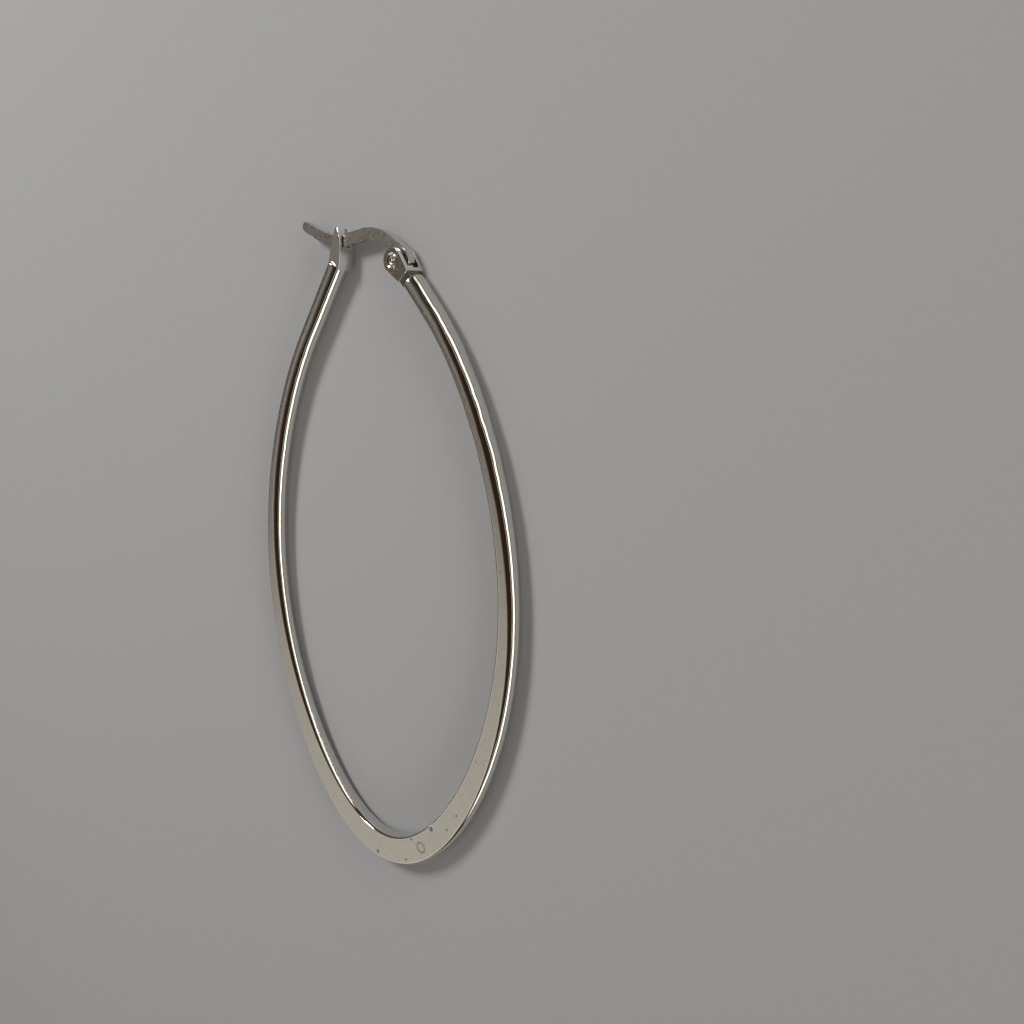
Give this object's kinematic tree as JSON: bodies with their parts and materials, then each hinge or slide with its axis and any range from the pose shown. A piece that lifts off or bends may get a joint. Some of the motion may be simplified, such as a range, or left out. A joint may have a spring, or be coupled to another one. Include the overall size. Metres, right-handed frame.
{
  "type": "latch-back hoop earring",
  "caption": "Oval latch-back hoop earring in polished stainless steel, tapered flattened band, hinged ear wire that snaps into a two-pronged catch fork",
  "frame": {"origin": "centre of the footprint, with the lowest metal at z = 0; the hoop lies flat", "axes": "+Y along the oval's long axis towards the clasp, +X towards the hinge, +Z out of the upper flat face"},
  "size_m": [0.036, 0.0638, 0.0022],
  "materials": {
    "polished_steel": "polished",
    "satin_steel": "satin"
  },
  "bodies": {
    "hoop_body": {"hoop": "polished_steel", "hinge_rivet": "satin_steel"},
    "ear_wire_body": {"ear_wire": "satin_steel"}
  },
  "joints": [
    {"name": "ear_wire_hinge", "type": "hinge", "parent": "hoop_body", "child": "ear_wire_body", "pos_m": [0.00376, 0.02779, 0.0011], "axis": [0, 0, -1], "range_deg": [0, 100]}
  ]
}
